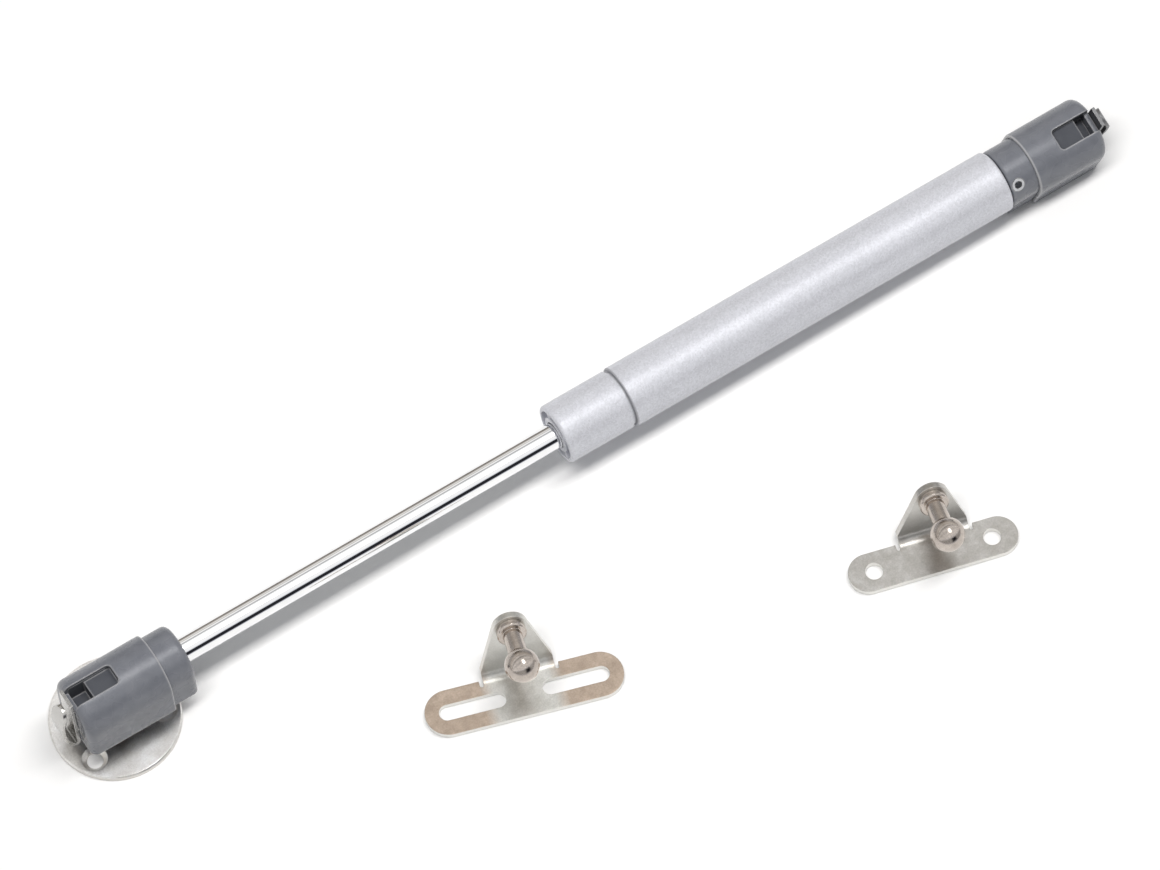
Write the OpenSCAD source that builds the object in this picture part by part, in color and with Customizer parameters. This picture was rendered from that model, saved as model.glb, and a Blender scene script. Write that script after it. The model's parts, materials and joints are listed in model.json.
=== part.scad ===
// Gas flap stay with quick-release ball sockets, a round ball plate and two loose ball brackets.
// Millimetres, +Z up. The origin is the centre of the round plate's underside.
// The stay runs along +X, from the plate's ball to the free socket that rests on the table.

/* [Gas tube] */
// Outer radius of the painted tube
tube_r = 7.5; // [7.3:0.1:10]
// Wall of the tube
tube_wall = 1; // [0.7:0.1:1.2]
// Inward lip that holds the rear plug, measured along the tube
tube_lip = 0.5; // [0.3:0.1:1.5]
// Radius of the opening inside that lip
lip_bore_r = 5; // [4.5:0.1:5.6]
// Rounding of the tube's outer edges
tube_round = 0.8; // [0.2:0.1:0.9]

/* [Rod and stroke] */
// Radius of the chromed rod
rod_r = 3; // [2.8:0.1:3.4]
// Travel of the rod from fully out to fully in
stroke = 85; // [60:1:160]
// Rod that stays in sight when the stay is closed
rod_spare = 14.2; // [8:0.2:30]
// Radius of the threaded ends that the sockets screw on
thread_r = 2.5; // [2:0.1:2.6]
// Length of those threaded ends
thread_len = 10; // [6:0.5:11]
// Radial running clearance of the rod and of the ring in the tube
run_gap = 0.03; // [0.02:0.01:0.08]

/* [Front cap] */
// Step from the tube's radius down to the cap's
cap_step = 0.25; // [0.1:0.05:0.6]
// Length of the cap that shows
cap_len = 17.4; // [16.8:0.2:30]
// Rounding of the cap's front rim
cap_round = 0.7; // [0.2:0.1:0.9]
// Width of the joint line between cap and tube
joint_w = 0.9; // [0.4:0.1:1.5]
// Depth of that joint line
joint_d = 0.55; // [0.1:0.05:0.6]
// Depth of the ring-shaped recess in the cap's face
recess_d = 1.6; // [0.8:0.1:1.8]
// Outer radius of that recess
recess_r = 6.1; // [5.4:0.1:6.3]
// Radial wall of the boss round the rod
boss_wall = 1.1; // [0.6:0.1:1.4]
// Clearance of the rod in the cap's hole
rod_gap = 0.35; // [0.2:0.05:0.5]
// Number of ribs across the recess
cap_ribs = 4; // [3:1:8]
// Width of a rib
rib_w = 1.2; // [0.8:0.1:2]
// Wall between the recess and the seals
face_wall = 1.2; // [0.8:0.1:2]
// Length of the spigot inside the tube
spigot_len = 3.5; // [3:0.1:8]

/* [Seals and guide] */
// Outer radius of the seal pack
seal_r = 5.2; // [4.8:0.1:5.3]
// Width of the dust wiper
wiper_w = 2; // [1.5:0.1:2.5]
// Width of the guide bush
bush_w = 6.6; // [4:0.1:7]
// Width of the rod seal
lip_w = 4; // [3:0.1:4.4]
// Width of the support washer
support_w = 1.4; // [1:0.1:1.6]
// Width of the circlip behind the seals
circlip_w = 0.9; // [0.7:0.1:1]
// Radial depth of the circlip's groove
circlip_d = 0.4; // [0.2:0.05:0.5]
// Inner radius of the circlip
circlip_in_r = 4; // [3.6:0.1:4.4]
// Opening of the circlip
circlip_open = 2; // [1:0.2:4]
// Radius of the section of the two O-rings
oring_r = 0.4; // [0.3:0.05:0.45]
// Clearance of an O-ring in its groove
oring_gap = 0.05; // [0.02:0.01:0.06]
// Distance from the rear plug's end to its groove
oring_inset = 1.2; // [0.8:0.1:1.4]
// Half the width of the groove in the rod seal
seal_groove = 0.35; // [0.2:0.05:0.5]

/* [Piston and plug] */
// Length of the piston
piston_len = 7.2; // [5:0.1:12]
// Clearance of the piston in the tube
piston_gap = 0.15; // [0.1:0.05:0.4]
// Width of the piston ring
ring_w = 2.2; // [1.5:0.1:2.6]
// Radial wall of the piston ring
ring_t = 1.1; // [0.8:0.1:1.4]
// Slit in the piston ring
ring_slit = 0.6; // [0.3:0.1:1.5]
// Side clearance of the ring in its groove
ring_side = 0.05; // [0.03:0.01:0.1]
// Radius of the rod's end inside the piston
spike_r = 2; // [1.5:0.1:2.2]
// Thickness of the washer behind the piston
valve_t = 0.8; // [0.5:0.1:2]
// Radius of that washer
valve_r = 4.9; // [3.8:0.1:5.2]
// Thickness of the peened rod end
peen_t = 1.2; // [0.8:0.1:3]
// Radius of the peened rod end
peen_r = 2.9; // [2.6:0.1:3.4]
// Gap between piston and cap, and piston and plug, at the ends of the stroke
stop_gap = 0.25; // [0.1:0.05:1]
// Length of the rear plug
plug_len = 3.65; // [3.4:0.05:8]
// Thickness of the rear stud's head inside the plug
stud_head_t = 1.2; // [0.8:0.1:1.6]
// Radius of that head
stud_head_r = 3.8; // [3.2:0.1:4.2]

/* [Ball sockets] */
// Radius of the balls
ball_r = 4; // [3.6:0.1:4.2]
// Clearance of a ball in its socket
ball_gap = 0.05; // [0.03:0.01:0.1]
// Radius of the socket core and its collar
core_r = 7.05; // [6.8:0.05:7.4]
// Depth of the core below the strut's axis
core_drop = 7.9; // [7.4:0.1:8]
// Bevel round the core's mouth
mouth_bevel = 0.8; // [0.3:0.1:1.2]
// Distance from the ball's centre to the end of the rod-end collar
collar_end = 18.4; // [17:0.1:24]
// Distance from the ball's centre to the end of the tube-end collar, which is shorter
tube_collar_end = 16.5; // [16.3:0.1:24]
// Rounding of the rod-end collar's end
collar_round = 1.5; // [0.3:0.1:1.8]
// Rounding of the tube-end collar's end
tube_collar_round = 0.6; // [0.3:0.1:1.4]
// Rounding of the core's hidden end
core_round = 0.4; // [0.2:0.1:0.6]
// Depth of the threaded hole past the thread's end
thread_spare = 0.4; // [0.2:0.1:1]
// Gap between the collar and the tube
collar_gap = 0.3; // [0.1:0.1:1]
// Wall of the outer sleeve
sleeve_wall = 0.8; // [0.6:0.1:1.4]
// Clearance between sleeve and core
sleeve_gap = 0.05; // [0.02:0.01:0.1]
// Depth of the sleeve below the strut's axis
sleeve_drop = 8.4; // [8.1:0.1:9]
// Distance from the ball's centre to the outer end of the rod-end sleeve
sleeve_out = 9.9; // [9:0.1:11]
// Distance from the ball's centre to the outer end of the tube-end sleeve
tube_sleeve_out = 8.9; // [8.7:0.1:11]
// Distance from the ball's centre to the inner end of the rod-end sleeve
sleeve_in = 11.8; // [10:0.1:14]
// Distance from the ball's centre to the inner end of the tube-end sleeve
tube_sleeve_in = 9.7; // [9:0.1:12]
// Thickness of the sleeve's end wall
end_wall = 1.2; // [0.8:0.1:1.6]
// Rounding of the sleeve's outer corners
end_round = 2; // [1:0.1:3]
// Rounding of the sleeve's inner edge
back_round = 0.4; // [0.2:0.05:0.6]
// Width of the window in the sleeve
window_w = 5.3; // [5:0.1:7]
// Rounding of the window's inner corners
window_round = 1.1; // [0.5:0.1:1.5]
// Distance that the window reaches past the ball's centre
window_in = 2; // [1:0.1:6]
// Height of the window's floor above the axis
floor_h = 5.7; // [5.2:0.1:6.4]
// Height of the window's lower edge in the sleeve's end wall
sill_h = 4.7; // [4.6:0.1:5]
// Height of the floor of the pit behind the clip
pit_h = 1.5; // [0:0.1:4]
// Distance from the ball's centre to that pit
pit_x = 4.6; // [4.4:0.1:6]
// Radius of the roll pin that locks the tube-end socket
pin_r = 1.5; // [0.8:0.1:1.6]
// Radius of the hole down the roll pin
pin_bore_r = 0.95; // [0.3:0.05:1]
// Distance from the ball's centre to the roll pin
pin_x = 14.6; // [13.8:0.1:14.8]
// Angle of the roll pin from the socket's top
pin_angle = 36; // [0:1:90]

/* [Spring clips] */
// Width of a clip's strip
clip_w = 4.8; // [4:0.1:5]
// Thickness of a clip's strip
clip_t = 0.8; // [0.6:0.05:0.9]
// Gap between a clip and the sleeve's end
clip_gap = 0.1; // [0.05:0.05:0.4]
// Height of the clip's inner leg above the axis
leg_top = 8.2; // [6:0.1:8.4]
// Depth of the clip's fold below the axis
clip_drop = 9.8; // [9:0.1:10]
// Inner radius of the fold
fold_r = 0.35; // [0.2:0.05:0.6]
// Radius of the bowed outer tab
bow_r = 15.8; // [12:0.2:30]
// Height of the bowed outer tab
tab_h = 14.3; // [10:0.1:15]
// Depth of the fork's upper face below the axis
fork_z = 3.15; // [3.1:0.05:3.4]
// Half the fork's opening
fork_in = 2.9; // [2.8:0.05:3.1]
// Half the fork's width
fork_out = 5.3; // [4.8:0.1:5.6]
// How far the fork reaches past the ball's centre
fork_tip = 2.2; // [1:0.1:2.4]
// Distance from the ball's centre to the end of the fork's slot
fork_back = 3.4; // [3.3:0.05:4]
// Clearance round the fork
fork_gap = 0.1; // [0.05:0.05:0.2]
// Spare length of the fork's slot
fork_spare = 0.4; // [0.2:0.1:0.5]
// Rounding in from the fork's tips
fork_round = 0.8; // [0.6:0.1:1]

/* [Round plate] */
// Radius of the round plate
plate_r = 15.1; // [14.5:0.1:20]
// Thickness of the round plate
plate_t = 1.5; // [1.2:0.1:2]
// Bevel round the plate's upper edge
plate_bevel = 0.3; // [0.1:0.05:0.5]
// Height of the ball's centre above the plate
plate_reach = 13.5; // [13.3:0.1:18]
// Radius of the circle of screw holes
screw_circle_r = 11.2; // [10.5:0.1:11.4]
// Radius of the screw holes
screw_r = 1.9; // [1.5:0.1:2.2]
// Radius of the countersinks
sink_r = 2.95; // [2.6:0.05:3]
// Turn of the screw holes about the plate's axis
screw_turn = 215; // [0:1:360]

/* [Ball studs] */
// Radius of a stud's neck
neck_r = 2.2; // [1.9:0.05:2.3]
// Radius of a stud's flange
flange_r = 3.4; // [2.8:0.1:3.7]
// Bevel round that flange
flange_bevel = 0.3; // [0.1:0.05:0.5]
// Thickness of a stud's flange
flange_t = 1.8; // [1:0.1:3]
// Radius of a stud's riveted tail
tail_r = 2; // [1.6:0.1:2.1]
// Radius of the tail's flush head
head_r = 2.9; // [2.4:0.1:3.2]
// Depth of the tail's flush head
head_t = 0.7; // [0.4:0.05:0.9]
// Clearance of a stud in its plate
stud_gap = 0.03; // [0.02:0.01:0.08]

/* [Loose brackets] */
// Thickness of the brackets
bracket_t = 1.6; // [1.4:0.1:2]
// Inner radius of their bend
bend_r = 2.5; // [1.5:0.1:3]
// Lean of their tongues from upright
tongue_lean = 20; // [0:1:30]
// Radius of the round top of the tongues
tongue_top_r = 4.1; // [3.8:0.1:5]
// Height of the ball's centre above the tongue
bracket_reach = 11.5; // [10:0.1:14]
// Length of the slotted bracket
slot_strap_l = 46; // [44:0.5:60]
// Width of the slotted bracket
slot_strap_w = 11; // [10:0.1:14]
// Length of its slots
slot_l = 15.5; // [10:0.5:16]
// Width of its slots
slot_w = 3.8; // [3.5:0.1:5]
// Distance between the slots' centres
slot_pitch = 24; // [22:0.5:28]
// Half the width of its tongue at the fold
slot_tongue_b = 8.3; // [7:0.1:10]
// Straight height of its tongue
slot_tongue_h = 15.3; // [12:0.1:24]
// Length of the two-hole bracket
hole_strap_l = 40; // [38:0.5:60]
// Width of the two-hole bracket
hole_strap_w = 9.4; // [9:0.1:14]
// Radius of its holes
hole_r = 2.05; // [1.6:0.05:2.4]
// Distance between its holes
hole_pitch = 28; // [26:0.5:30]
// Half the width of its tongue at the fold
hole_tongue_b = 8.2; // [6.5:0.1:9]
// Distance of its tongue from the strap's middle
hole_tongue_x = 1.6; // [0:0.1:3]
// Sideways lean of its tongue, from foot to top
hole_tongue_skew = 1; // [0:0.1:3]
// Straight height of its tongue
hole_tongue_h = 12.2; // [11:0.1:24]
// Radius of the relief notches beside the tongues
notch_r = 0.9; // [0.4:0.1:1.2]
// Distance from a bracket's back edge forward to the start of its bend
fold_inset = 1.1; // [0.6:0.1:1.6]

/* [Lie on the table] */
// Roll of the rod-end socket about the strut's axis, away from the loose brackets
rod_socket_roll = 3.5; // [0:0.5:6]
// Roll of the tube-end socket about the strut's axis, toward the loose brackets
socket_roll = 15.5; // [0:0.5:30]
// Place of the slotted bracket along the stay
slot_x = 80; // [60:1:110]
// Place of the slotted bracket to the side of the stay
slot_y = -45.6; // [-80:0.2:-40]
// Turn of the slotted bracket
slot_turn = -17.7; // [-40:0.1:40]
// Place of the two-hole bracket along the stay
hole_x = 175.6; // [150:0.2:200]
// Place of the two-hole bracket to the side of the stay
hole_y = -67.2; // [-90:0.2:-50]
// Turn of the two-hole bracket
hole_turn = -15.4; // [-40:0.1:40]

/* [Hidden] */

eps = 0.01;
fine = 96;
small = 48;
// How far a cut runs past the face that it opens
over = 1;

// Stations along the strut, from the centre of the rod-end ball
x_cap = collar_end + stroke + rod_spare;
x_tube = x_cap + cap_len;
x_spigot = x_tube + spigot_len;
x_piston = x_spigot + stop_gap;
x_valve = x_piston + piston_len;
x_peen = x_valve + valve_t;
x_plug = x_peen + peen_t + stroke + stop_gap;
x_lip = x_plug + plug_len;
x_tube_end = x_lip + tube_lip;
ball_span = x_tube_end + collar_gap + tube_collar_end;

// The seal pack, from the cap's face backward
x_wiper = x_cap + recess_d + face_wall;
x_bush = x_wiper + wiper_w;
x_lip_seal = x_bush + bush_w;
x_support = x_lip_seal + lip_w;
x_circlip = x_support + support_w;

bore_r = tube_r - tube_wall;
cap_r = tube_r - cap_step;
fit_gap = 0.02;
rib_start = 0.3;
rib_root = 0.3;
pin_floor = thread_r + 1;
sleeve_r = core_r + sleeve_gap + sleeve_wall;
sleeve_inset = end_wall + sleeve_gap;

// The clip's fold and bow
fold_m = fold_r + clip_t / 2;
fold_z = -clip_drop + fold_r + clip_t;
bow_a = asin(tab_h / (2 * bow_r));

// The stay leans down from the plate's ball until the free socket's sleeve meets the table
ball_z = plate_t + plate_reach;
rest_x = ball_span + tube_sleeve_out - end_round;
rest_drop = sleeve_drop * cos(socket_roll) + sleeve_r * sin(socket_roll);
stay_tilt = asin(ball_z / norm([rest_x, rest_drop])) - atan2(rest_drop, rest_x);

// Placing

module on_strut() {
    translate([0, 0, ball_z]) rotate([0, stay_tilt, 0]) children();
}

module at_rod_socket() {
    on_strut() rotate([-rod_socket_roll, 0, 0]) children();
}

module at_tube_socket() {
    on_strut() translate([ball_span, 0, 0]) rotate([socket_roll, 0, 0]) rotate([0, 0, 180]) children();
}

module at_slotted_bracket() {
    translate([slot_x, slot_y, 0]) rotate([0, 0, slot_turn]) children();
}

module at_two_hole_bracket() {
    translate([hole_x, hole_y, 0]) rotate([0, 0, hole_turn]) children();
}

// Shapes that repeat

// A flat profile of radius and station, turned about the strut's axis
module turned() {
    rotate([0, 90, 0]) rotate_extrude($fn = fine) children();
}

// A bar along the strut's axis
module bar(x0, x1, r) {
    translate([x0, 0, 0]) rotate([0, 90, 0]) cylinder(h = x1 - x0, r = r, $fn = fine);
}

module tube_ring(x0, x1, r_out, r_in) {
    difference() {
        bar(x0, x1, r_out);
        bar(x0 - over, x1 + over, r_in);
    }
}

// What a rounded corner takes away, with the rounding's centre at the origin
module corner(r) {
    difference() {
        square(r + eps);
        circle(r, $fn = small);
    }
}

// A rectangle of radius and station with its two outer corners rounded
module round_bar_profile(r, x0, x1, round0, round1) {
    difference() {
        translate([0, x0]) square([r, x1 - x0]);
        translate([r - round0, x0 + round0]) mirror([0, 1]) corner(round0);
        translate([r - round1, x1 - round1]) corner(round1);
    }
}

// A body with a half-round top and a straight-sided lower half
module dome_block(r, drop, x0, x1, round0, round1) {
    rotate([0, 90, 0]) rotate([0, 0, 90]) rotate_extrude(angle = 180, $fn = fine)
        round_bar_profile(r, x0, x1, round0, round1);
    translate([0, 0, -drop]) linear_extrude(drop) difference() {
        translate([x0, -r]) square([x1 - x0, 2 * r]);
        for (side = [-1, 1]) scale([1, side]) {
            translate([x0 + round0, r - round0]) mirror([1, 0]) corner(round0);
            translate([x1 - round1, r - round1]) corner(round1);
        }
    }
}

// A sector of a flat ring
module ring_sector(r, t, a0, a1) {
    reach = 2 * (r + t);
    turns = [for (i = [0 : 6]) a0 + (a1 - a0) * i / 6];
    intersection() {
        difference() {
            circle(r + t / 2, $fn = fine);
            circle(r - t / 2, $fn = fine);
        }
        polygon(concat([[0, 0]], [for (a = turns) reach * [cos(a), sin(a)]]));
    }
}

// A stadium centred on the origin along x
module stadium(length, width) {
    square([length - width, width], center = true);
    for (side = [-1, 1]) translate([side * (length - width) / 2, 0]) circle(d = width, $fn = small);
}

// A ball stud along z: its flush head is at z = 0 and its flange stands on a plate of thickness t
module ball_stud(t, reach) {
    rotate_extrude($fn = fine) polygon([
        [0, 0], [head_r - stud_gap, 0], [tail_r, head_t], [tail_r, t + stud_gap],
        [flange_r, t + stud_gap], [flange_r, t + flange_t - flange_bevel],
        [flange_r - flange_bevel, t + flange_t], [neck_r, t + flange_t],
        [neck_r, t + reach - ball_r / 2], [0, t + reach - ball_r / 2]
    ]);
    translate([0, 0, t + reach]) sphere(ball_r, $fn = fine);
}

// The hole that a stud's tail is riveted in
module stud_hole(t) {
    translate([0, 0, -over]) cylinder(h = t + 2 * over, r = tail_r + stud_gap, $fn = small);
    translate([0, 0, -eps]) cylinder(h = head_t + eps, r1 = head_r, r2 = tail_r + stud_gap, $fn = small);
}

// Sockets, drawn with the ball's centre at the origin, the collar toward +x and the mouth toward -z.
// In each, out is the distance from there to the sleeve's outer end.

module fork_slot(out) {
    reach = out + over + fork_tip + fork_gap + fork_spare;
    translate([-out - over, -fork_out - fork_gap, -fork_z - clip_t - fork_gap])
        cube([reach, 2 * (fork_out + fork_gap), clip_t + 2 * fork_gap]);
}

module socket_core(out, collar, end_r, has_pin) {
    x_end = sleeve_inset - out;
    x_out = x_end - over;
    difference() {
        dome_block(core_r, core_drop, x_end, collar, core_round, end_r);
        sphere(ball_r + ball_gap, $fn = fine);
        translate([0, 0, -core_drop - over])
            cylinder(h = core_drop + over, r = ball_r + ball_gap, $fn = fine);
        translate([0, 0, -core_drop - eps])
            cylinder(h = mouth_bevel + eps, r1 = ball_r + mouth_bevel, r2 = ball_r, $fn = fine);
        fork_slot(out);
        translate([x_out, -window_w / 2, floor_h]) cube([window_in - x_out, window_w, core_r]);
        translate([x_out, -window_w / 2, pit_h]) cube([-pit_x - x_out, window_w, core_r]);
        bar(collar - thread_len - thread_spare, collar + over, thread_r + fit_gap);
        if (has_pin) pin_place() cylinder(h = core_r, r = pin_r + fit_gap, $fn = small);
    }
}

module socket_sleeve(out, back) {
    inner_r = core_r + sleeve_gap;
    difference() {
        dome_block(sleeve_r, sleeve_drop, -out, back, end_round, back_round);
        dome_block(inner_r, sleeve_drop + over, end_wall - out, back + over, eps, eps);
        fork_slot(out);
        window(out);
    }
}

module window(out) {
    reach = window_in - window_round;
    side_y = window_w / 2 - window_round;
    translate([0, 0, sill_h]) linear_extrude(sleeve_r) {
        translate([-out - over, -window_w / 2]) square([out + over + reach, window_w]);
        translate([reach - eps, -side_y]) square([window_round, 2 * side_y]);
        for (side = [-1, 1]) translate([reach, side * side_y]) circle(window_round, $fn = small);
    }
}

module pin_place() {
    translate([pin_x, 0, 0]) rotate([-pin_angle, 0, 0]) translate([0, 0, pin_floor]) children();
}

module socket_pin() {
    pin_place() difference() {
        cylinder(h = core_r - pin_floor, r = pin_r, $fn = small);
        translate([0, 0, -over]) cylinder(h = core_r, r = pin_bore_r, $fn = small);
    }
}

module socket_clip(out) {
    leg_x = -(out + clip_gap + clip_t);
    fold_x = leg_x - fold_r;
    // The inner leg and the fold
    rotate([90, 0, 0]) linear_extrude(clip_w, center = true) {
        translate([leg_x, fold_z]) square([clip_t, leg_top - fold_z]);
        translate([fold_x, fold_z]) ring_sector(fold_m, clip_t, bow_a - 180, 0);
    }
    // The bowed tab with its round top
    intersection() {
        rotate([90, 0, 0]) linear_extrude(clip_w, center = true)
            translate([fold_x + (bow_r - fold_m) * cos(bow_a), fold_z + (bow_r - fold_m) * sin(bow_a)])
                ring_sector(bow_r, clip_t, 180 - bow_a, 180 + bow_a);
        translate([fold_x - bow_r, 0, 0]) rotate([90, 0, 90]) linear_extrude(bow_r * 2) {
            tab_top = fold_z - fold_m * sin(bow_a) + tab_h - clip_w / 2;
            translate([-clip_w / 2, -clip_drop - over]) square([clip_w, tab_top + clip_drop + over]);
            translate([0, tab_top]) circle(d = clip_w, $fn = small);
        }
    }
    // The fork under the ball
    root_x = leg_x + clip_t / 2;
    round_x = fork_tip - fork_round;
    translate([0, 0, -fork_z - clip_t]) linear_extrude(clip_t) difference() {
        union() {
            translate([root_x, -fork_out]) square([round_x - root_x, 2 * fork_out]);
            for (side = [-1, 1]) translate([round_x, side * (fork_in + fork_out) / 2])
                circle(d = fork_out - fork_in, $fn = small);
        }
        translate([fork_in - fork_back, 0]) circle(fork_in, $fn = small);
        translate([fork_in - fork_back, -fork_in]) square([fork_back + fork_tip, 2 * fork_in]);
        for (side = [-1, 1]) scale([1, side]) translate([leg_x - over, clip_w / 2])
            square([over + clip_t + fork_gap, fork_out]);
    }
}

// Brackets, drawn with the strap on the table along x and the tongue at the back

// Where the straight edge from a foot that lies dx to the side and top below touches the round top
function touch(dx, top) = let(turn = atan2(-top, dx) + acos(tongue_top_r / norm([dx, top])))
    tongue_top_r * [cos(turn), sin(turn)];

// The tongue's outline, from its foot on the x axis to its round top, which leans to the side by skew
module tongue_outline(b, h, skew) {
    top = h - tongue_top_r;
    right = touch(b - skew, top);
    left = touch(b + skew, top);
    polygon([[-b, -eps], [b, -eps], [skew + right.x, top + right.y], [skew - left.x, top + left.y]]);
    translate([skew, top]) circle(tongue_top_r, $fn = fine);
}

// Places children on the tongue: z runs out of its front face and y up the tongue
module on_tongue(w, x) {
    translate([x, w / 2 - fold_inset, bracket_t + bend_r]) rotate([90 - tongue_lean, 0, 0])
        translate([0, 0, -bend_r - bracket_t]) children();
}

// The bent strip between strap and tongue
module bend_strip(w, b, x) {
    translate([x - b, w / 2 - fold_inset, bracket_t + bend_r]) rotate([0, 90, 0])
        rotate_extrude(angle = 90 - tongue_lean, $fn = fine)
            translate([bend_r, 0]) square([bracket_t, 2 * b]);
}

// A bracket: the strap's outline is the child and w its width; b, h, x and skew are the tongue's
// half foot, height, distance from the strap's middle and sideways lean
module bracket_body(w, b, h, x, skew) {
    fold_y = w / 2 - fold_inset;
    difference() {
        union() {
            linear_extrude(bracket_t) difference() {
                children();
                translate([x - b - notch_r, fold_y + eps]) square([2 * (b + notch_r), w]);
                for (side = [-1, 1]) translate([x + side * (b + notch_r / 2), fold_y])
                    circle(notch_r / 2, $fn = small);
            }
            bend_strip(w, b, x);
            on_tongue(w, x) linear_extrude(bracket_t) tongue_outline(b, h, skew);
        }
        on_tongue(w, x) translate([skew, h - tongue_top_r, 0]) stud_hole(bracket_t);
    }
}

// Gas tube and what is fixed to it

// The profile that an O-ring's groove takes away
module oring_groove(x) {
    groove_w = 2 * (oring_r + oring_gap);
    translate([bore_r - fit_gap - groove_w, x - groove_w / 2]) square([groove_w + over, groove_w]);
}

module cylinder_tube() {
    color([0.80, 0.81, 0.83]) on_strut() turned() difference() {
        round_bar_profile(tube_r, x_tube, x_tube_end, tube_round / 2, tube_round);
        translate([-over, x_tube - over]) square([bore_r + over, x_lip - x_tube + over]);
        translate([-over, x_tube]) square([lip_bore_r + over, x_tube_end - x_tube + over]);
    }
}

module front_cap() {
    boss_r = rod_r + rod_gap + boss_wall;
    spigot_r = bore_r - fit_gap;
    color([0.79, 0.80, 0.82]) on_strut() {
        difference() {
            turned() difference() {
                union() {
                    round_bar_profile(cap_r, x_cap, x_tube, cap_round, eps);
                    translate([0, x_tube - eps]) square([spigot_r, spigot_len + eps]);
                }
                translate([cap_r - joint_d, x_tube - joint_w]) square([joint_d + over, joint_w]);
                translate([boss_r, x_cap - over]) square([recess_r - boss_r, recess_d + over]);
                translate([-over, x_cap - over]) square([rod_r + rod_gap + over, cap_len]);
                translate([-over, x_wiper]) square([seal_r + over, x_spigot - x_wiper + over]);
                translate([-over, x_circlip]) square([seal_r + circlip_d + over, circlip_w]);
                oring_groove(x_tube + spigot_len / 2);
            }
        }
        for (i = [0 : cap_ribs - 1]) rotate([i * 360 / cap_ribs + 45, 0, 0])
            translate([x_cap + rib_start, -rib_w / 2, boss_r - rib_root])
                cube([recess_d, rib_w, recess_r - boss_r + 2 * rib_root]);
    }
}

module dust_wiper() {
    color([0.12, 0.12, 0.13]) on_strut()
        tube_ring(x_wiper, x_bush, seal_r - fit_gap, rod_r + run_gap);
}

module guide_bush() {
    color([0.85, 0.83, 0.76]) on_strut()
        tube_ring(x_bush, x_lip_seal, seal_r - fit_gap, rod_r + run_gap);
}

module rod_seal() {
    // A U-shaped lip seal, open toward the gas
    mid = (rod_r + seal_r) / 2;
    color([0.1, 0.1, 0.1]) on_strut() turned() difference() {
        translate([rod_r + run_gap, x_lip_seal]) square([seal_r - fit_gap - rod_r - run_gap, lip_w]);
        translate([mid - seal_groove, x_lip_seal + lip_w / 2]) square([2 * seal_groove, lip_w]);
    }
}

module support_washer() {
    color([0.6, 0.6, 0.62]) on_strut()
        tube_ring(x_support, x_circlip, seal_r - fit_gap, rod_r + 2 * rod_gap);
}

module seal_circlip() {
    color([0.5, 0.5, 0.52]) on_strut() difference() {
        tube_ring(x_circlip, x_circlip + circlip_w - fit_gap, seal_r + circlip_d - fit_gap, circlip_in_r);
        translate([x_circlip - over, -circlip_open / 2, 0])
            cube([circlip_w + 2 * over, circlip_open, seal_r * 2]);
    }
}

module o_ring(x) {
    on_strut() turned() translate([bore_r - fit_gap - oring_r, x]) circle(oring_r, $fn = small);
}

module front_o_ring() {
    color([0.1, 0.1, 0.1]) o_ring(x_tube + spigot_len / 2);
}

module rear_plug() {
    plug_r = bore_r - fit_gap;
    color([0.75, 0.75, 0.77]) on_strut() turned() difference() {
        translate([thread_r + fit_gap, x_plug]) square([plug_r - thread_r - fit_gap, plug_len]);
        translate([0, x_plug - over]) square([stud_head_r + fit_gap, stud_head_t + over]);
        oring_groove(x_lip - oring_inset - oring_r);
    }
}

module rear_o_ring() {
    color([0.1, 0.1, 0.1]) o_ring(x_lip - oring_inset - oring_r);
}

module rear_stud() {
    color([0.7, 0.7, 0.72]) on_strut() {
        bar(x_plug, x_plug + stud_head_t, stud_head_r);
        bar(x_plug, x_tube_end + collar_gap + thread_len, thread_r);
    }
}

module tube_socket_core() {
    color([0.42, 0.44, 0.47]) at_tube_socket()
        socket_core(tube_sleeve_out, tube_collar_end, tube_collar_round, true);
}

module tube_socket_sleeve() {
    color([0.45, 0.47, 0.50]) at_tube_socket() socket_sleeve(tube_sleeve_out, tube_sleeve_in);
}

module tube_socket_pin() {
    color([0.85, 0.85, 0.86]) at_tube_socket() socket_pin();
}

module tube_socket_clip() {
    color([0.78, 0.78, 0.76]) at_tube_socket() socket_clip(tube_sleeve_out);
}

// Rod and what moves with it

module piston_ring() {
    ring_r = bore_r - run_gap;
    mid_x = x_piston + piston_len / 2;
    color([0.9, 0.89, 0.84]) on_strut() difference() {
        tube_ring(mid_x - ring_w / 2, mid_x + ring_w / 2, ring_r, ring_r - ring_t);
        translate([mid_x - ring_w, -ring_slit / 2, 0]) cube([2 * ring_w, ring_slit, 2 * ring_r]);
    }
}

module piston() {
    mid_x = x_piston + piston_len / 2;
    groove_r = bore_r - run_gap - ring_t - run_gap;
    groove_w = ring_w + 2 * ring_side;
    shaft_hole_r = spike_r + fit_gap;
    color([0.7, 0.71, 0.73]) on_strut() turned() difference() {
        translate([shaft_hole_r, x_piston]) square([bore_r - piston_gap - shaft_hole_r, piston_len]);
        translate([groove_r, mid_x - groove_w / 2]) square([bore_r, groove_w]);
    }
}

module valve_washer() {
    color([0.6, 0.6, 0.62]) on_strut() tube_ring(x_valve, x_peen, valve_r, spike_r + fit_gap);
}

module piston_rod() {
    color([0.86, 0.87, 0.88]) on_strut() {
        bar(collar_end - thread_len, collar_end + eps, thread_r);
        bar(collar_end, x_piston, rod_r);
        bar(x_piston - eps, x_peen + eps, spike_r);
        bar(x_peen, x_peen + peen_t, peen_r);
    }
}

module rod_socket_core() {
    color([0.42, 0.44, 0.47]) at_rod_socket() socket_core(sleeve_out, collar_end, collar_round, false);
}

module rod_socket_sleeve() {
    color([0.45, 0.47, 0.50]) at_rod_socket() socket_sleeve(sleeve_out, sleeve_in);
}

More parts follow.
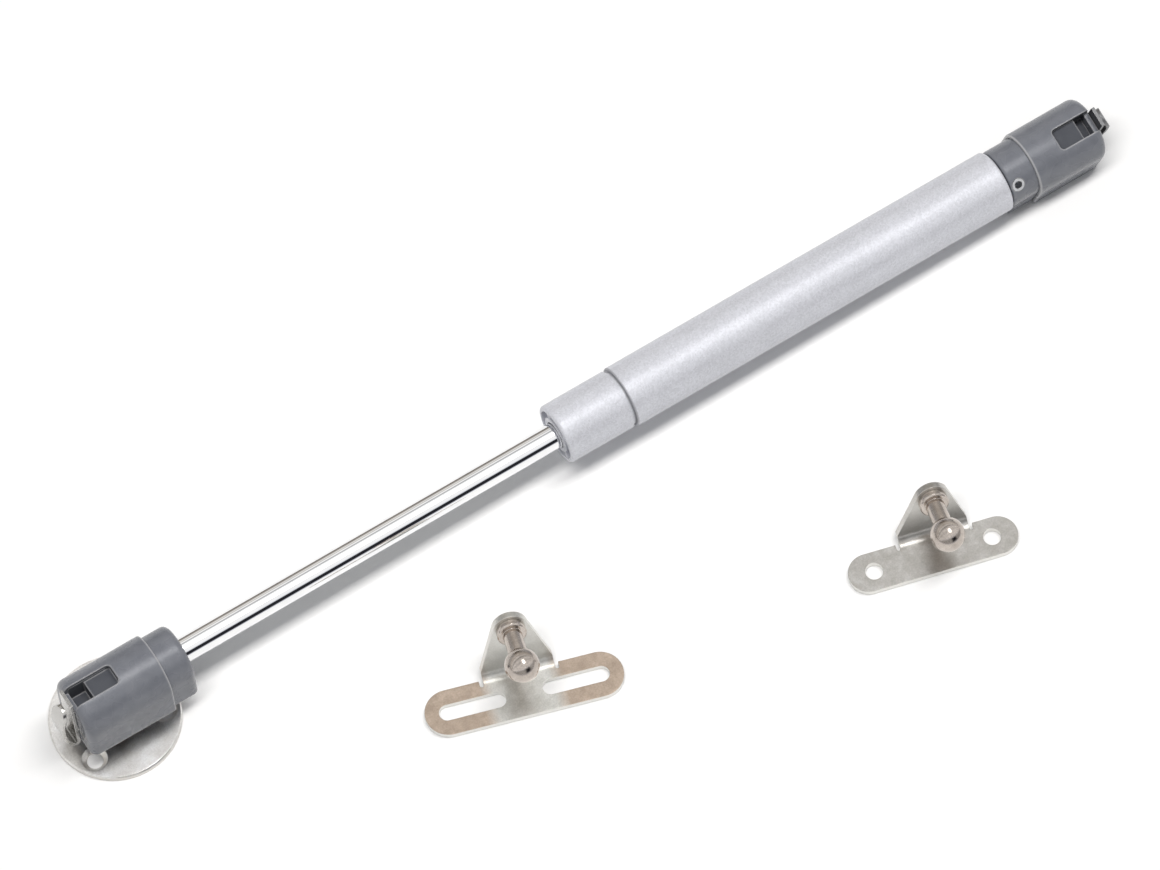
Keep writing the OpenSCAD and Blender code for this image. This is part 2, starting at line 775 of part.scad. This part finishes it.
module rod_socket_clip() {
    color([0.78, 0.78, 0.76]) at_rod_socket() socket_clip(sleeve_out);
}

// Ball plate

module plate_ball_stud() {
    color([0.80, 0.79, 0.76]) ball_stud(plate_t, plate_reach);
}

module round_plate() {
    sink_d = sink_r - screw_r;
    color([0.82, 0.81, 0.78]) difference() {
        rotate_extrude($fn = fine) polygon([
            [0, 0], [plate_r, 0], [plate_r, plate_t - plate_bevel],
            [plate_r - plate_bevel, plate_t], [0, plate_t]
        ]);
        stud_hole(plate_t);
        for (i = [0 : 2]) rotate([0, 0, screw_turn + 120 * i]) translate([screw_circle_r, 0, 0]) {
            translate([0, 0, -over]) cylinder(h = plate_t + 2 * over, r = screw_r, $fn = small);
            translate([0, 0, plate_t - sink_d])
                cylinder(h = sink_d + eps, r1 = screw_r, r2 = sink_r + eps, $fn = small);
        }
    }
}

// Loose brackets

module slotted_bracket() {
    color([0.80, 0.77, 0.72]) at_slotted_bracket()
        bracket_body(slot_strap_w, slot_tongue_b, slot_tongue_h, 0, 0) difference() {
            stadium(slot_strap_l, slot_strap_w);
            for (side = [-1, 1]) translate([side * slot_pitch / 2, 0]) stadium(slot_l, slot_w);
        }
}

module slotted_bracket_stud() {
    color([0.80, 0.79, 0.76]) at_slotted_bracket() on_tongue(slot_strap_w, 0)
        translate([0, slot_tongue_h - tongue_top_r, 0]) ball_stud(bracket_t, bracket_reach);
}

module two_hole_bracket() {
    color([0.80, 0.78, 0.74]) at_two_hole_bracket()
        bracket_body(hole_strap_w, hole_tongue_b, hole_tongue_h, hole_tongue_x, hole_tongue_skew)
            difference() {
                stadium(hole_strap_l, hole_strap_w);
                for (side = [-1, 1]) translate([side * hole_pitch / 2, 0]) circle(hole_r, $fn = small);
            }
}

module two_hole_bracket_stud() {
    color([0.80, 0.79, 0.76]) at_two_hole_bracket() on_tongue(hole_strap_w, hole_tongue_x)
        translate([hole_tongue_skew, hole_tongue_h - tongue_top_r, 0]) ball_stud(bracket_t, bracket_reach);
}

cylinder_tube();
front_cap();
dust_wiper();
guide_bush();
rod_seal();
support_washer();
seal_circlip();
front_o_ring();
rear_plug();
rear_o_ring();
rear_stud();
tube_socket_core();
tube_socket_sleeve();
tube_socket_pin();
tube_socket_clip();
piston_ring();
piston_rod();
piston();
valve_washer();
rod_socket_core();
rod_socket_sleeve();
rod_socket_clip();
plate_ball_stud();
round_plate();
slotted_bracket();
slotted_bracket_stud();
two_hole_bracket();
two_hole_bracket_stud();
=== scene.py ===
"""Looks for the flap stay: materials, table top, studio light and the camera."""

import json
import math

import bmesh
import bpy
from mathutils import Matrix, Vector

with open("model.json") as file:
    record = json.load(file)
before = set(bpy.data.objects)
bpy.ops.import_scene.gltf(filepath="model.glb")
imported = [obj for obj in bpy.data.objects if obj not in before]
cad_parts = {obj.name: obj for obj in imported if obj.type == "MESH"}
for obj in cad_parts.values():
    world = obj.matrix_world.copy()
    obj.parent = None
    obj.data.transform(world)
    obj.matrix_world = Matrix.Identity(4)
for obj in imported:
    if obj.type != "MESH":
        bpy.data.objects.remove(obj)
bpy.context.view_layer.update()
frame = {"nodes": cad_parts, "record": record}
nodes = frame["nodes"]
scene = bpy.context.scene

# Lengths are in metres
MM = 0.001
MICRON = 0.000001
UP = Vector((0.0, 0.0, 1.0))
WHITE = (1.0, 1.0, 1.0)


# Node helpers


# The mix node's sockets for a plain factor and two colours, and its output for a colour
MIX_INPUTS = (0, 6, 7)
MIX_OUTPUT = 2


class Graph:
    """A node tree with short calls for the nodes that repeat."""

    def __init__(self, owner, output):
        owner.use_nodes = True
        self.tree = owner.node_tree
        self.tree.nodes.clear()
        self.out = self.add(output)

    def add(self, kind, **values):
        node = self.tree.nodes.new(kind)
        for key, value in values.items():
            setattr(node, key, value)
        return node

    def link(self, output, socket):
        self.tree.links.new(output, socket)

    def feed(self, socket, value):
        """Gives a socket a number, a colour or another node's output."""
        if isinstance(value, (int, float)):
            socket.default_value = value
        elif isinstance(value, tuple):
            socket.default_value = (*value, 1.0)
        else:
            self.link(value, socket)

    def calc(self, kind, *values):
        node = self.add("ShaderNodeMath", operation=kind)
        for socket, value in zip(node.inputs, values):
            self.feed(socket, value)
        return node.outputs[0]

    def spread(self, value, low, high, start=0.0, end=1.0):
        """low up to start, high from end on, and a straight run between them."""
        node = self.add("ShaderNodeMapRange")
        node.inputs["From Min"].default_value = start
        node.inputs["From Max"].default_value = end
        node.inputs["To Min"].default_value = low
        node.inputs["To Max"].default_value = high
        self.link(value, node.inputs["Value"])
        return node.outputs["Result"]

    def varied(self, noise, low, high, reach=0.2):
        """low to high over the part where a noise mostly lies: reach to either side of a half."""
        return self.spread(noise, low, high, 0.5 - reach, 0.5 + reach)

    def near(self, value, centre, inner, outer):
        """1 within inner of centre, falling to 0 at outer."""
        off = self.calc("ABSOLUTE", self.calc("SUBTRACT", value, centre))
        return self.spread(off, 1.0, 0.0, inner, outer)

    def ramp(self, value, *stops):
        node = self.add("ShaderNodeValToRGB")
        points = node.color_ramp.elements
        while len(points) < len(stops):
            points.new(0.5)
        for point, (where, colour) in zip(points, stops):
            point.position = where
            point.color = (*colour, 1.0)
        self.link(value, node.inputs["Fac"])
        return node.outputs["Color"]

    def mix(self, factor, a, b, blend="MIX"):
        node = self.add("ShaderNodeMix", data_type="RGBA", blend_type=blend)
        for index, value in zip(MIX_INPUTS, (factor, a, b)):
            self.feed(node.inputs[index], value)
        return node.outputs[MIX_OUTPUT]

    def tinted(self, colour, mask, amount, tone):
        """The colour, turned towards a tone by amount where the mask is 1."""
        return self.mix(self.calc("MULTIPLY", mask, amount), colour, tone)


class Material(Graph):
    """A material's node tree. Its textures lie in the object's own metres."""

    def __init__(self, name):
        self.material = bpy.data.materials.new(name)
        super().__init__(self.material, "ShaderNodeOutputMaterial")
        coordinates = self.add("ShaderNodeTexCoord").outputs
        self.place = coordinates["Object"]
        self.facing = coordinates["Normal"]

    def stretched(self, per_metre):
        """Coordinates for a noise whose features differ in length along the three axes."""
        node = self.add("ShaderNodeMapping")
        node.inputs["Scale"].default_value = per_metre
        self.link(self.place, node.inputs["Vector"])
        return node.outputs["Vector"]

    def along(self, start, axis):
        """How far a point lies from start along an axis."""
        offset = self.add("ShaderNodeVectorMath", operation="SUBTRACT")
        offset.inputs[1].default_value = start
        self.link(self.place, offset.inputs[0])
        dot = self.add("ShaderNodeVectorMath", operation="DOT_PRODUCT")
        dot.inputs[1].default_value = axis
        self.link(offset.outputs[0], dot.inputs[0])
        return dot.outputs["Value"]

    def noise(self, per_metre, detail=3.0, rough=0.5, place=None):
        node = self.add("ShaderNodeTexNoise")
        node.inputs["Scale"].default_value = per_metre
        node.inputs["Detail"].default_value = detail
        node.inputs["Roughness"].default_value = rough
        self.link(place or self.place, node.inputs["Vector"])
        return node.outputs["Fac"]

    def cells(self, per_metre):
        """Small cells, each with a grey of its own."""
        node = self.add("ShaderNodeTexVoronoi")
        node.inputs["Scale"].default_value = per_metre
        self.link(self.place, node.inputs["Vector"])
        grey = self.add("ShaderNodeRGBToBW")
        self.link(node.outputs["Color"], grey.inputs[0])
        return grey.outputs[0]

    def bump(self, height, distance, strength, normal=None):
        node = self.add("ShaderNodeBump")
        node.inputs["Distance"].default_value = distance
        node.inputs["Strength"].default_value = strength
        self.link(height, node.inputs["Height"])
        if normal is not None:
            self.link(normal, node.inputs["Normal"])
        return node.outputs["Normal"]

    def facing_aside(self):
        """1 on faces that stand upright, 0 on faces that look up or down."""
        tilt = self.add("ShaderNodeSeparateXYZ")
        self.link(self.facing, tilt.inputs[0])
        return self.spread(self.calc("ABSOLUTE", tilt.outputs["Z"]), 1.0, 0.0, start=0.35, end=0.7)

    def soft_edge(self, radius):
        """The normal rounded over sharp edges, and a mask that is 1 along them, where a highlight is
        painted.
        """
        bevel = self.add("ShaderNodeBevel", samples=6)
        bevel.inputs["Radius"].default_value = radius
        geometry = self.add("ShaderNodeNewGeometry")
        dot = self.add("ShaderNodeVectorMath", operation="DOT_PRODUCT")
        self.link(bevel.outputs[0], dot.inputs[0])
        self.link(geometry.outputs["Normal"], dot.inputs[1])
        return bevel.outputs[0], self.spread(dot.outputs["Value"], 1.0, 0.0, start=0.86, end=0.995)

    def surface(self, colour, roughness, normal, metallic=0.0):
        shader = self.add("ShaderNodeBsdfPrincipled")
        shader.inputs["Metallic"].default_value = metallic
        for name, value in (("Base Color", colour), ("Roughness", roughness), ("Normal", normal)):
            self.link(value, shader.inputs[name])
        self.link(shader.outputs[0], self.out.inputs["Surface"])
        return self.material


# Places in the frame


def joint_axis(name):
    joints = {joint["name"]: joint for joint in frame["record"]["behaviour"]["joints"]}
    return Vector(joints[name]["axis"])


def end_of(node, axis):
    """The point of a node that lies furthest along an axis."""
    return max((vertex.co for vertex in nodes[node].data.vertices), key=axis.dot).copy()


def strap_middle(back, ball):
    """A loose bracket's middle and the direction of its strap, from its mounts."""
    mounts = {mount["name"]: mount for mount in frame["record"]["mounts"]}
    lean = mounts[ball]["axis"]
    return mounts[back]["pos_m"], Vector((-lean[1], lean[0], 0.0)).normalized()


STRUT = joint_axis("rod_slide")
ROD_RIM = end_of("rod_socket_sleeve", STRUT)
TUBE_RIM = end_of("tube_socket_sleeve", -STRUT)
CAP_JOINT = end_of("cylinder_tube", -STRUT)


# Materials


# How far an edge is rounded in shading, which also sets how wide the highlight painted along it is
PAINT_EDGE = 0.2 * MM
PLASTIC_EDGE = 0.6 * MM
PLATED_EDGE = 0.22 * MM
SMALL_EDGE = 0.15 * MM
# Half the width of the painted shade line in the cap's joint and of the painted highlight line at a rim,
# and where each has faded out
JOINT_SHADE_WIDTH = (0.2 * MM, 0.5 * MM)
RIM_HIGHLIGHT_WIDTH = (0.15 * MM, 0.45 * MM)
# Length over which a core's painted shade below its sleeve fades in
SHADE_LENGTH = 0.4 * MM
# Half the length of a strap's middle part with a painted highlight, and where it has faded out
MIDDLE_PART = (6.5 * MM, 9.5 * MM)
# Height up to which the tone painted on upright faces has its full strength, and from which it has half
SIDE_LIGHT_HEIGHTS = (1.6 * MM, 3.0 * MM)
# Scratches to a metre along the three axes, on plating and on the rod
PLATED_SCRATCHES = (700.0, 5200.0, 1800.0)
ROD_SCRATCHES = (9000.0, 60.0, 60.0)


def silver_paint():
    """Sprayed silver: metal flakes under a satin lacquer, with a painted highlight along sharp edges and
    painted shade in the cap's joint.
    """
    g = Material("silver_paint")
    flakes = g.spread(g.cells(2700), 0.86, 1.07)
    cloud = g.varied(g.noise(160, detail=4), 0.97, 1.03)
    colour = g.mix(1.0, (0.69, 0.697, 0.745), g.calc("MULTIPLY", flakes, cloud), "MULTIPLY")
    edge, edge_highlight = g.soft_edge(PAINT_EDGE)
    # Painted highlight: the paint turns paler along sharp edges.
    colour = g.tinted(colour, edge_highlight, 0.35, tone=(0.86, 0.86, 0.87))
    # Painted shade in the joint between the cap and the tube: a dark line.
    joint_shade = g.near(g.along(CAP_JOINT, STRUT), 0.0, *JOINT_SHADE_WIDTH)
    colour = g.tinted(colour, joint_shade, 0.6, tone=(0.20, 0.20, 0.21))
    peel = g.bump(g.noise(1100, detail=2, rough=0.45), 12 * MICRON, strength=0.6, normal=edge)
    grain = g.bump(g.cells(4200), 6 * MICRON, strength=0.5, normal=peel)
    return g.surface(colour, g.varied(g.noise(900), 0.37, 0.45), grain, metallic=0.22)


def chromed_rod():
    """Ground and hard-chromed rod: a mirror with the faintest lines round it."""
    g = Material("chromed_rod")
    lines = g.noise(1.0, detail=2, rough=0.6, place=g.stretched(ROD_SCRATCHES))
    haze = g.noise(220, detail=4)
    colour = g.ramp(haze, (0.3, (0.86, 0.865, 0.875)), (0.7, (0.93, 0.93, 0.93)))
    normal = g.bump(lines, 1.5 * MICRON, strength=0.35)
    return g.surface(colour, g.varied(haze, 0.035, 0.075), normal, metallic=1.0)


def grey_plastic(name, rims=(), under=None):
    """Moulded grey nylon: satin, a little cloudy, with a painted highlight along its edges and at
    the given rims.

    Each rim is a point and an axis. under is a point and an axis too, for a core with painted
    shade below its sleeve: darker and duller from there on.
    """
    g = Material(name)
    colour = g.ramp(
        g.noise(260, detail=4, rough=0.55),
        (0.30, (0.150, 0.157, 0.180)),
        (0.52, (0.172, 0.180, 0.204)),
        (0.72, (0.194, 0.201, 0.225)),
    )
    colour = g.mix(1.0, colour, g.spread(g.cells(5200), 0.97, 1.03), "MULTIPLY")
    rough = g.varied(g.noise(350, detail=1, rough=0.4), 0.25, 0.30, reach=0.25)
    if under:
        # Painted shade below the sleeve: the core turns near black and duller.
        sleeve_shade = g.spread(g.along(*under), 0.0, 1.0, start=0.0, end=SHADE_LENGTH)
        colour = g.tinted(colour, sleeve_shade, 0.6, tone=(0.035, 0.038, 0.045))
        rough = g.calc("MAXIMUM", rough, g.calc("MULTIPLY", sleeve_shade, 0.8))
    # Painted highlight: paler along sharp edges and along the given rims.
    edge, edge_highlight = g.soft_edge(PLASTIC_EDGE)
    for rim in rims:
        edge_highlight = g.calc("MAXIMUM", edge_highlight, g.near(g.along(*rim), 0.0, *RIM_HIGHLIGHT_WIDTH))
    colour = g.tinted(colour, edge_highlight, 0.9, tone=(0.47, 0.47, 0.48))
    skin = g.bump(g.noise(1500, detail=4, rough=0.65), 8 * MICRON, strength=0.4, normal=edge)
    return g.surface(colour, rough, skin)


def mottled(g, patches, light, dark):
    """Two tones of one plating, with the middle tone between them."""
    middle = tuple((a + b) / 2 for a, b in zip(light, dark))
    return g.ramp(patches, (0.34, dark), (0.52, middle), (0.66, light))


def nickel(name, tones, rough, mottle, centre=None, side_light=None):
    """Barrel-plated nickel on steel: mottled in two tones and softly scratched, with a painted
    highlight along sharp edges.

    tones are the light and the dark one, rough the lowest and the highest roughness, and
    mottle the patches to a metre. centre is a strap's middle, its lengthwise axis and two
    paler tones painted there as a highlight. The last argument is the tone painted on faces
    that stand upright, low down: painted shade on the plate, a painted highlight on straps.
    """
    g = Material(name)
    patches = g.noise(mottle, detail=5, rough=0.62)
    colour = mottled(g, patches, *tones)
    if centre:
        # Painted highlight: paler tones on the strap's middle and its tongue.
        middle, axis, highlight_tones = centre
        middle_highlight = g.near(g.along(middle, axis), 0.0, *MIDDLE_PART)
        colour = g.mix(middle_highlight, colour, mottled(g, patches, *highlight_tones))
    sand = g.varied(g.noise(2600, detail=2, rough=0.6), 0.90, 1.08)
    colour = g.mix(1.0, colour, sand, "MULTIPLY")
    if side_light:
        # Painted light on upright faces low down: shade on the plate's rim, a highlight on the straps'
        # sides.
        low = g.spread(g.along((0.0, 0.0, 0.0), UP), 1.0, 0.5, *SIDE_LIGHT_HEIGHTS)
        colour = g.tinted(colour, g.facing_aside(), low, tone=side_light)
    edge, edge_highlight = g.soft_edge(PLATED_EDGE)
    # Painted highlight: the plating turns paler along sharp edges.
    colour = g.tinted(colour, edge_highlight, 0.4, tone=(0.92, 0.90, 0.86))
    dents = g.bump(g.noise(900, rough=0.55), 5 * MICRON, strength=0.5, normal=edge)
    scratches = g.noise(1.0, rough=0.7, place=g.stretched(PLATED_SCRATCHES))
    normal = g.bump(scratches, 6 * MICRON, strength=0.4, normal=dents)
    roughness = g.varied(g.noise(450, detail=1, rough=0.4), *rough, reach=0.25)
    return g.surface(colour, roughness, normal, metallic=1.0)


def metal(name, colour, rough):
    """Plain metal with a faint haze and a painted highlight along its edges."""
    g = Material(name)
    haze = g.noise(600, detail=4)
    edge, edge_highlight = g.soft_edge(SMALL_EDGE)
    dull = tuple(channel * 0.88 for channel in colour)
    tone = g.ramp(haze, (0.3, dull), (0.7, colour))
    # Painted highlight along sharp edges.
    tone = g.tinted(tone, edge_highlight, 0.4, tone=(0.9, 0.89, 0.87))
    normal = g.bump(g.noise(2600), 8 * MICRON, strength=0.5, normal=edge)
    return g.surface(tone, g.varied(haze, *rough), normal, metallic=1.0)


def moulded(name, light, dark, rough):
    """Plain plastic or rubber, a little cloudy."""
    g = Material(name)
    cloud = g.noise(500, detail=4)
    edge, _ = g.soft_edge(SMALL_EDGE)
    normal = g.bump(g.noise(3200), 10 * MICRON, strength=0.6, normal=edge)
    return g.surface(g.ramp(cloud, (0.3, dark), (0.7, light)), g.varied(cloud, *rough), normal)


# The light and the dark tone of each plating, the paler pair painted as a highlight on the slotted
# strap's middle, and the tones painted on upright faces: shade on the plate, a highlight on the straps
BALL_TONES = ((0.60, 0.54, 0.49), (0.44, 0.39, 0.35))
PLATE_TONES = ((0.95, 0.94, 0.925), (0.73, 0.705, 0.67))
TAN_TONES = ((0.55, 0.445, 0.36), (0.42, 0.335, 0.265))
MIDDLE_HIGHLIGHT_TONES = ((0.72, 0.71, 0.675), (0.57, 0.56, 0.52))
PALE_TONES = ((0.55, 0.535, 0.51), (0.42, 0.40, 0.37))
PLATE_SIDE_SHADE = (0.62, 0.60, 0.57)
STRAP_SIDE_HIGHLIGHT = (0.72, 0.71, 0.68)

# The slotted strap's middle and the paler tones painted there as a highlight
STRAP_MIDDLE = (*strap_middle("slotted_back", "slotted_bracket_ball"), MIDDLE_HIGHLIGHT_TONES)
BALL = nickel("bright_nickel", BALL_TONES, rough=(0.13, 0.18), mottle=320)
STEEL = metal("plain_steel", (0.62, 0.62, 0.63), rough=(0.25, 0.40))
ALLOY = metal("aluminium", (0.78, 0.79, 0.80), rough=(0.28, 0.42))
GUIDE = moulded("guide_plastic", (0.78, 0.75, 0.66), (0.70, 0.67, 0.58), rough=(0.44, 0.56))
RUBBER = moulded("seal_rubber", (0.030, 0.030, 0.032), (0.018, 0.018, 0.020), rough=(0.54, 0.66))

FINISHES = (
    (silver_paint(), ["cylinder_tube", "front_cap"]),
    (chromed_rod(), ["piston_rod"]),
    (grey_plastic("rod_core_plastic", under=(ROD_RIM, -STRUT)), ["rod_socket_core"]),
    (grey_plastic("tube_core_plastic", under=(TUBE_RIM, STRUT)), ["tube_socket_core"]),
    (grey_plastic("rod_sleeve_plastic", rims=[(ROD_RIM, STRUT)]), ["rod_socket_sleeve"]),
    (grey_plastic("tube_sleeve_plastic", rims=[(TUBE_RIM, STRUT)]), ["tube_socket_sleeve"]),
    (BALL, ["plate_ball_stud", "slotted_bracket_stud", "two_hole_bracket_stud"]),
    (nickel("plate_nickel", PLATE_TONES, (0.29, 0.34), 260, side_light=PLATE_SIDE_SHADE), ["round_plate"]),
    (nickel("strap_nickel", TAN_TONES, (0.31, 0.36), 420, STRAP_MIDDLE, STRAP_SIDE_HIGHLIGHT), ["slotted_bracket"]),
    (nickel("pale_strap_nickel", PALE_TONES, (0.28, 0.33), 380, side_light=STRAP_SIDE_HIGHLIGHT), ["two_hole_bracket"]),
    # The two clips are one spring steel: the rod-end clip is painted lighter as a highlight, the
    # tube-end clip darker as shade.
    (metal("spring_steel_painted_highlight", (0.56, 0.55, 0.53), rough=(0.20, 0.30)), ["rod_socket_clip"]),
    (metal("spring_steel_painted_shade", (0.24, 0.24, 0.245), rough=(0.42, 0.54)), ["tube_socket_clip"]),
    (metal("bright_steel", (0.94, 0.95, 0.96), rough=(0.40, 0.48)), ["tube_socket_pin"]),
    (STEEL, ["support_washer", "seal_circlip", "rear_stud", "valve_washer"]),
    (ALLOY, ["rear_plug", "piston"]),
    (GUIDE, ["guide_bush", "piston_ring"]),
    (RUBBER, ["dust_wiper", "rod_seal", "front_o_ring", "rear_o_ring"]),
)
for finish, names in FINISHES:
    for name in names:
        nodes[name].data.materials.clear()
        nodes[name].data.materials.append(finish)


# Table top, light and camera


TABLE_MIDDLE = (0.12, 0.0)
TABLE_HALF = 3.0
TABLE_DROP = 0.03 * MM
# The table is seen as white, and throws this much light back on the pieces
TABLE_GLOW = (0.80, 0.80, 0.80)


def floor():
    """A plain white table top."""
    shape = bmesh.new()
    bmesh.ops.create_grid(shape, x_segments=8, y_segments=8, size=TABLE_HALF)
    mesh = bpy.data.meshes.new("table_top")
    shape.to_mesh(mesh)
    shape.free()
    table = bpy.data.objects.new("table_top", mesh)
    table.location = (*TABLE_MIDDLE, -TABLE_DROP)
    scene.collection.objects.link(table)
    g = Material("table_white")
    rays = g.add("ShaderNodeLightPath").outputs
    seen = g.calc("MAXIMUM", rays["Is Camera Ray"], rays["Is Glossy Ray"])
    matt = g.add("ShaderNodeBsdfDiffuse")
    g.link(g.mix(seen, TABLE_GLOW, WHITE), matt.inputs["Color"])
    g.link(matt.outputs[0], g.out.inputs["Surface"])
    mesh.materials.append(g.material)


HALF_TURN = 180.0
# What a reflection meets, by its angle in degrees from the front horizon, over the top, to
# the rear horizon: a dark gap in front, white overhead and warmer greys behind
STUDIO = (
    (0.0, (0.80, 0.81, 0.84)),
    (6.0, (0.55, 0.56, 0.60)),
    (9.0, (0.02, 0.02, 0.025)),
    (34.0, (0.02, 0.02, 0.025)),
    (38.0, (0.80, 0.81, 0.85)),
    (50.0, WHITE),
    (80.0, WHITE),
    (86.0, (0.72, 0.72, 0.72)),
    (93.0, (0.72, 0.72, 0.72)),
    (97.0, WHITE),
    (112.0, WHITE),
    (116.0, (0.42, 0.42, 0.42)),
    (122.0, (0.42, 0.42, 0.42)),
    (126.0, WHITE),
    (134.0, (0.95, 0.94, 0.92)),
    (140.0, (0.55, 0.53, 0.50)),
    (148.0, (0.90, 0.88, 0.85)),
    (158.0, (0.42, 0.39, 0.36)),
    (176.0, (0.14, 0.12, 0.10)),
)
# The X part of the directions in which the stay throws the camera's view back, and how far to
# either side of it the dark gap and the bright strip reach and fade out
REFLECTED_X = 0.20
GAP_REACH = (0.15, 0.35)
STRIP_REACH = (0.07, 0.15)
# The bright strip in degrees: its angle, and its half width without and with its fading edge
STRIP_ANGLE = 86.0
STRIP_WIDTH = (6.0, 15.0)
# What the strip adds to the studio's strength of 1
STRIP_BOOST = 8.0
# Past the gap's ends nothing in the studio is darker than this
GAP_GREY = (0.50, 0.50, 0.50)
# The even glow on matt surfaces, and the sky that the camera sees past the table
MATT_GLOW = (0.955, 0.975, 1.0)
MATT_STRENGTH = 0.28
SEEN_SKY = (0.80, 0.80, 0.80)


def sky():
    """Pale to the camera, an even glow on matt surfaces, and a studio in reflections."""
    scene.world = bpy.data.worlds.new("studio")
    g = Graph(scene.world, "ShaderNodeOutputWorld")

    def background(colour, strength):
        node = g.add("ShaderNodeBackground")
        g.feed(node.inputs["Color"], colour)
        g.feed(node.inputs["Strength"], strength)
        return node.outputs[0]

    def choose(ray, otherwise, then):
        node = g.add("ShaderNodeMixShader")
        for socket, output in zip(node.inputs, (ray, otherwise, then)):
            g.link(output, socket)
        return node.outputs[0]

    direction = g.add("ShaderNodeSeparateXYZ")
    g.link(g.add("ShaderNodeTexCoord").outputs["Generated"], direction.inputs[0])
    x, y, z = direction.outputs
    angle = g.calc("ARCTAN2", z, g.calc("MULTIPLY", y, -1.0))
    turn = g.spread(angle, 0.0, 1.0, start=0.0, end=math.pi)
    bands = g.ramp(turn, *((degrees / HALF_TURN, colour) for degrees, colour in STUDIO))
    beside = g.calc("SUBTRACT", 1.0, g.near(x, REFLECTED_X, *GAP_REACH))
    studio = g.mix(beside, bands, GAP_GREY, "LIGHTEN")
    widths = (degrees / HALF_TURN for degrees in STRIP_WIDTH)
    across = g.near(turn, STRIP_ANGLE / HALF_TURN, *widths)
    strip = g.calc("MULTIPLY", across, g.near(x, REFLECTED_X, *STRIP_REACH))
    strength = g.calc("MULTIPLY_ADD", strip, STRIP_BOOST, 1.0)

    rays = g.add("ShaderNodeLightPath").outputs
    matt = background(MATT_GLOW, MATT_STRENGTH)
    lit = choose(rays["Is Glossy Ray"], matt, background(studio, strength))
    seen = choose(rays["Is Camera Ray"], lit, background(SEEN_SKY, 1.0))
    g.link(seen, g.out.inputs["Surface"])


LAMP_SIZE = (1.8, 0.34)
LAMP_POWER = 24.0
LAMP_COLOUR = (1.0, 0.985, 0.965)
LAMP_AIM = Vector((0.16, 0.0, 0.0))
LAMP_LEAN = 0.07
LAMP_DISTANCE = 1.6


def key_light():
    """A long soft strip lamp over the stay, and parallel to it. Reflections don't show it."""
    lamp = bpy.data.lights.new("key", "AREA")
    lamp.shape = "RECTANGLE"
    lamp.size, lamp.size_y = LAMP_SIZE
    lamp.energy = LAMP_POWER
    lamp.color = LAMP_COLOUR
    holder = bpy.data.objects.new("key", lamp)
    holder.visible_glossy = False
    away = Vector((0.0, -LAMP_LEAN, 1.0)).normalized()
    holder.rotation_mode = "QUATERNION"
    holder.rotation_quaternion = away.to_track_quat("Z", "Y")
    holder.location = LAMP_AIM + away * LAMP_DISTANCE
    scene.collection.objects.link(holder)


# The fitted view: yaw, rise and roll in degrees, and the focal length in the photograph's pixels
VIEW_ANGLES = (-28.55, 64.74, -4.24)
VIEW_TARGET = Vector((0.1251, 0.0023, 0.0))
VIEW_DISTANCE = 1.824
FOCAL_PIXELS = 8000
PHOTO_WIDTH = 1160
SENSOR_WIDTH = 36.0


def camera():
    """The photograph's view, fitted to the plate, the sockets and the tube."""
    yaw, rise, roll = (math.radians(angle) for angle in VIEW_ANGLES)
    level = math.cos(rise)
    back = Vector((math.sin(yaw) * level, -math.cos(yaw) * level, math.sin(rise)))
    right = UP.cross(back).normalized()
    up = back.cross(right)
    across = math.cos(roll) * right + math.sin(roll) * up
    along = math.cos(roll) * up - math.sin(roll) * right
    lens = bpy.data.cameras.new("camera")
    lens.sensor_width = SENSOR_WIDTH
    lens.lens = SENSOR_WIDTH * FOCAL_PIXELS / PHOTO_WIDTH
    lens.clip_start = 0.05
    lens.clip_end = 20.0
    holder = bpy.data.objects.new("camera", lens)
    turn = Matrix((across, along, back)).transposed().to_4x4()
    holder.matrix_world = Matrix.Translation(VIEW_TARGET + back * VIEW_DISTANCE) @ turn
    scene.collection.objects.link(holder)
    scene.camera = holder


floor()
sky()
key_light()
camera()
scene.view_settings.view_transform = "Standard"
